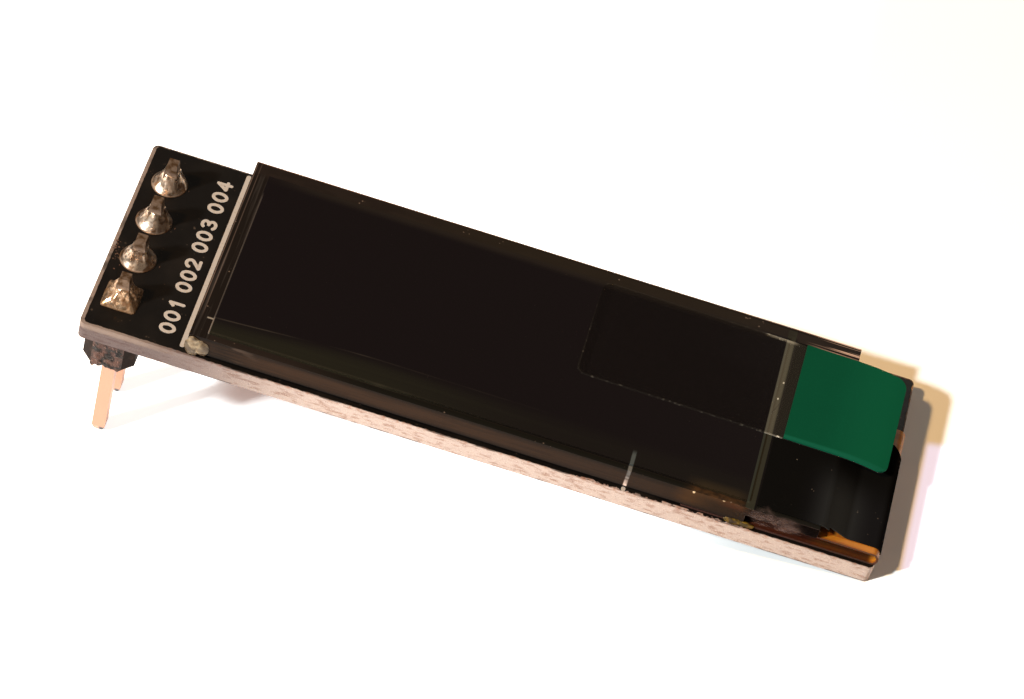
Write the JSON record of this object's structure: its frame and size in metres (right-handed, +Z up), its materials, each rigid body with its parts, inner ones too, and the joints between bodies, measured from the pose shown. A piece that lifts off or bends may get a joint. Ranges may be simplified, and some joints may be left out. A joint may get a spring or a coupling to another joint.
{
  "type": "small oled module",
  "caption": "Narrow black circuit board with a long dark display glass on top, a row of square header pins below one end and a folded amber flex cable at the other.",
  "frame": {"origin": "middle of the module's box, on the surface it rests on", "axes": "+Z up, +X along the board from its header end to its flex end, +Y across it; the board leans about +Y, header end up, as it rests on its pin tips and far edge"},
  "size_m": [0.0382, 0.012, 0.0108],
  "materials": {
    "board": "black solder mask over pale glass-fibre laminate",
    "spacer": "black moulded plastic, broken off rough at one end",
    "pin": "pale gold flash over square brass wire",
    "solder": "dull to bright solder with flux stain",
    "front_glass": "clear sheet glass, polished faces and ground edges",
    "rear_glass": "clear sheet glass with an etched pocket",
    "edge_seal": "cured resin",
    "emitter_layer": "dark film stack",
    "drying_sheet": "pale absorbent sheet",
    "polarizer": "near-black polished film",
    "driver_chip": "bare silicon",
    "panel_tape": "dark adhesive foam tape",
    "flex_cable": "amber polyimide film",
    "light_shield": "black tape, satin",
    "clear_film": "clear protective film",
    "pull_tab": "green film",
    "adhesive": "cured yellowish adhesive",
    "regulator": "moulded black epoxy",
    "leads": "tinned metal",
    "capacitor": "tan fired ceramic with tinned ends",
    "resistor": "black glazed ceramic with tinned ends"
  },
  "bodies": {
    "root": {"capacitor_1": "capacitor", "capacitor_2": "capacitor", "capacitor_3": "capacitor", "capacitor_4": "capacitor", "capacitor_5": "capacitor", "capacitor_6": "capacitor", "capacitor_7": "capacitor", "capacitor_8": "capacitor", "chip_solder": "solder", "circuit_board": "board", "clear_film": "clear_film", "driver_chip": "driver_chip", "drying_sheet": "drying_sheet", "edge_seal": "edge_seal", "emitter_layer": "emitter_layer", "end_dab": "adhesive", "flex_cable": "flex_cable", "flex_joints": "solder", "foot_dab": "adhesive", "front_glass": "front_glass", "header_pin_1": "pin", "header_pin_2": "pin", "header_pin_3": "pin", "header_pin_4": "pin", "header_spacer": "spacer", "light_shield": "light_shield", "panel_tape": "panel_tape", "polarizer": "polarizer", "pull_tab": "pull_tab", "rear_glass": "rear_glass", "regulator": "regulator", "regulator_leads": "leads", "resistor_1": "resistor", "resistor_2": "resistor", "resistor_3": "resistor", "resistor_4": "resistor", "solder_joint_1": "solder", "solder_joint_2": "solder", "solder_joint_3": "solder", "solder_joint_4": "solder"}
  },
  "joints": []
}
